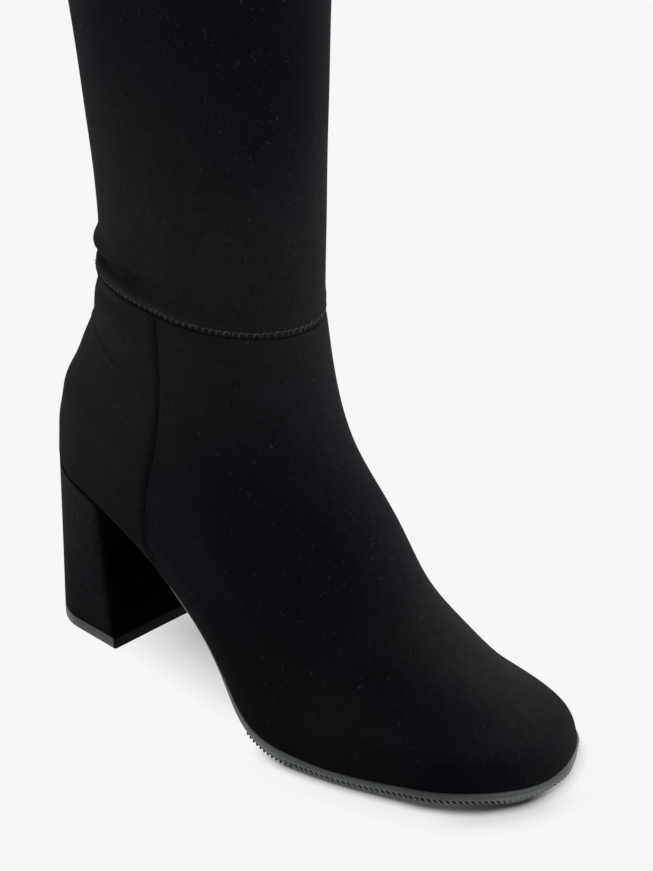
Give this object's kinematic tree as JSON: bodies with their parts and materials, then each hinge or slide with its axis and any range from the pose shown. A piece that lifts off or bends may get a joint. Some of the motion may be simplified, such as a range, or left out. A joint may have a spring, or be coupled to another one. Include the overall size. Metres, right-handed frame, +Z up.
{
  "type": "tall heeled boot",
  "caption": "Women's tall stretch boot with a hollow shaft and foot, an ankle seam, a covered block heel, a thin rubber outsole and a rounded toe; right foot.",
  "frame": {"origin": "centre of the heel's ground face, on the floor", "axes": "+X towards the toe, +Y to the boot's left (the inner side of this right boot), +Z up"},
  "size_m": [0.2536, 0.1186, 0.455],
  "materials": {
    "microfibre": "matt black stretch microfibre with a short suede nap",
    "rubber": "satin dark grey",
    "lining": "matt black textile"
  },
  "bodies": {
    "root": {"upper": "microfibre", "shaft": "microfibre", "heel": "microfibre", "heel_top_piece": "rubber", "outsole": "rubber", "insole": "lining"}
  },
  "joints": []
}
